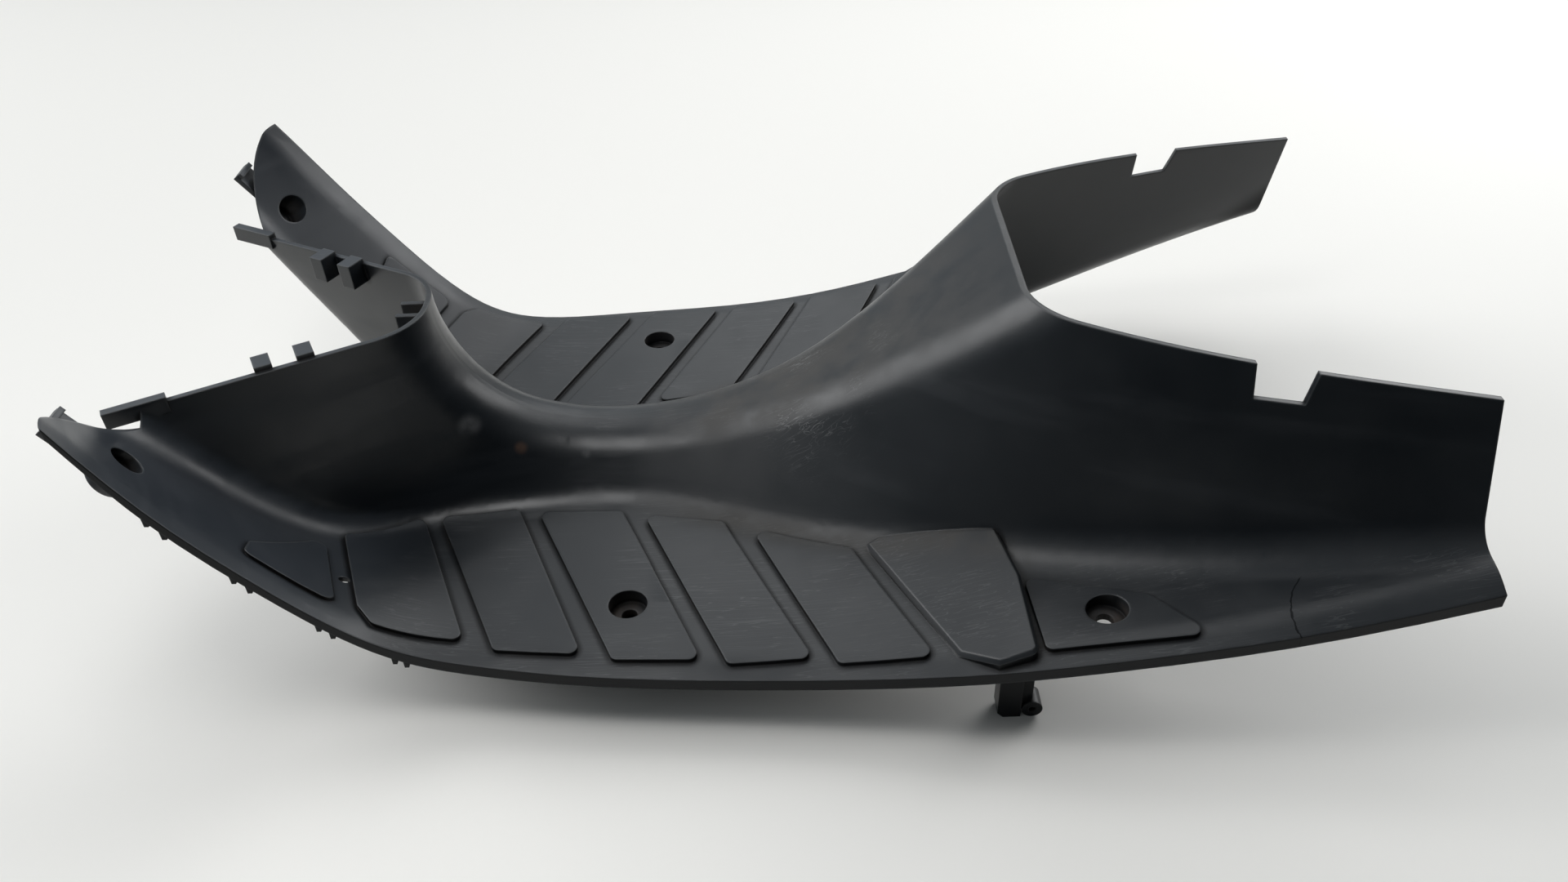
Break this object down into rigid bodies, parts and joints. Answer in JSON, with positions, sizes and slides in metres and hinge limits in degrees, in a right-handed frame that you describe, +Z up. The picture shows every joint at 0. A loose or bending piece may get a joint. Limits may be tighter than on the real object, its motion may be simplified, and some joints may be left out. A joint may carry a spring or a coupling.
{
  "type": "scooter floorboard",
  "caption": "Moulded scooter floorboard with padded foot wells, a raised centre tunnel, sloping toe-boards, an open rear bay between notched wings and recessed bolt holes.",
  "frame": {"origin": "midway between the two middle bolt holes, at the seats of their bolts", "axes": "+X towards the rear of the scooter, +Y to the rider's right, +Z up"},
  "size_m": [0.6651, 0.3968, 0.1943],
  "materials": {
    "moulded_plastic": "satin black, lightly scuffed and dusty"
  },
  "bodies": {
    "root": {"floorboard": "moulded_plastic"}
  },
  "joints": []
}
